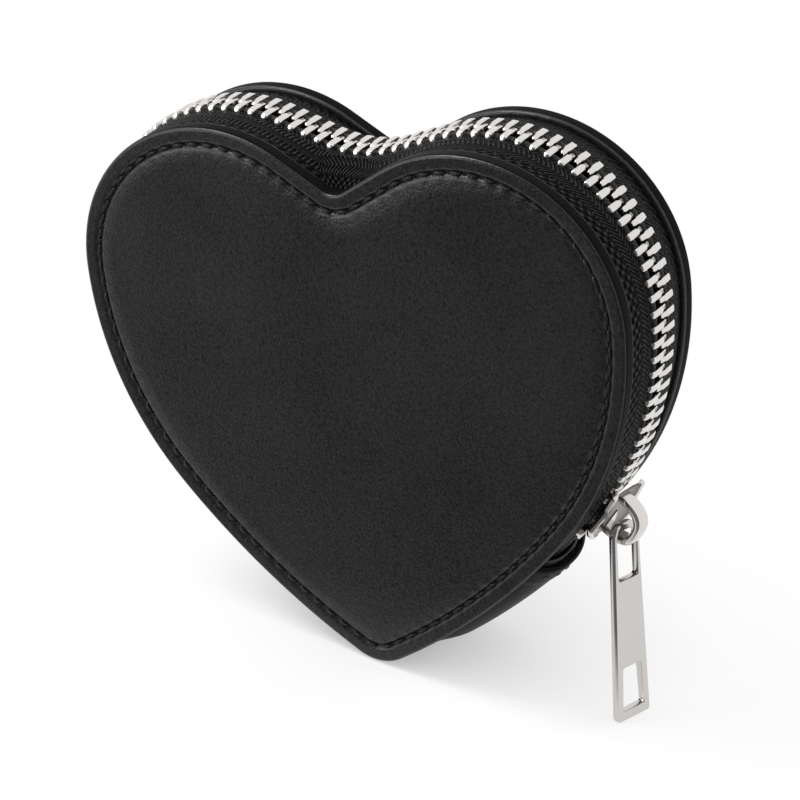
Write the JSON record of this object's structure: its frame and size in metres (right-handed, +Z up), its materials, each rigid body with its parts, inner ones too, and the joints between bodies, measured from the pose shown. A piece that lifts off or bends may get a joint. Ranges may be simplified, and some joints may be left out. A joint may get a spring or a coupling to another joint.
{
  "type": "heart shaped purse",
  "caption": "Small stiff heart shaped leather purse with a zip round its side wall, a gusset at the tip and a long metal pull on the zip's slider.",
  "frame": {"origin": "middle of the flat back face, 48 mm above the tip", "axes": "+Z up from the tip to the lobes, +Y out of the back face, the front faces -Y and the slider lies towards +X"},
  "size_m": [0.1062, 0.0251, 0.1053],
  "materials": {
    "leather": "fine grained, semi-matt, dark charcoal",
    "foam": "thin padding sheet",
    "board": "stiffening board",
    "lining": "plain woven lining",
    "thread": "waxed sewing thread",
    "tape": "woven zip tape",
    "cord": "corded tape edge",
    "metal": "polished nickel plate"
  },
  "bodies": {
    "back_half": {"back_leather_panel": "leather", "back_foam": "foam", "back_board": "board", "back_lining": "lining", "back_stitching": "thread", "back_zip_tape": "tape", "back_zip_cord": "cord", "back_zip_teeth": "metal", "back_slider_teeth": "metal", "back_top_stop": "metal", "bottom_gusset": "leather", "gusset_lining": "lining", "gusset_stitching": "thread"},
    "front_half": {"front_leather_panel": "leather", "front_foam": "foam", "front_board": "board", "front_lining": "lining", "front_stitching": "thread", "front_zip_tape": "tape", "front_zip_cord": "cord", "front_zip_teeth": "metal", "front_slider_teeth": "metal", "front_top_stop": "metal"},
    "slider": {"slider_body": "metal", "slider_crown": "metal"},
    "pull": {"zip_pull": "metal"}
  },
  "joints": [
    {"name": "clam_open", "type": "hinge", "parent": "back_half", "child": "front_half", "pos_m": [0, -0.0124, -0.033], "axis": [1, 0, 0], "range_deg": [0, 45], "deforming": ["front_zip_tape", "front_zip_cord", "bottom_gusset", "gusset_lining"]},
    {"name": "slider_travel", "type": "hinge", "parent": "back_half", "child": "slider", "pos_m": [-0.0076, -0.0124, 0.0199], "axis": [0, -1, 0], "range_deg": [0, 35], "deforming": ["front_slider_teeth", "back_slider_teeth"]},
    {"name": "pull_swing", "type": "hinge", "parent": "slider", "child": "pull", "pos_m": [0.0433, -0.01308, -0.01935], "axis": [-0.1133, -0.9903, 0.0808], "range_deg": [-36, 125]}
  ]
}
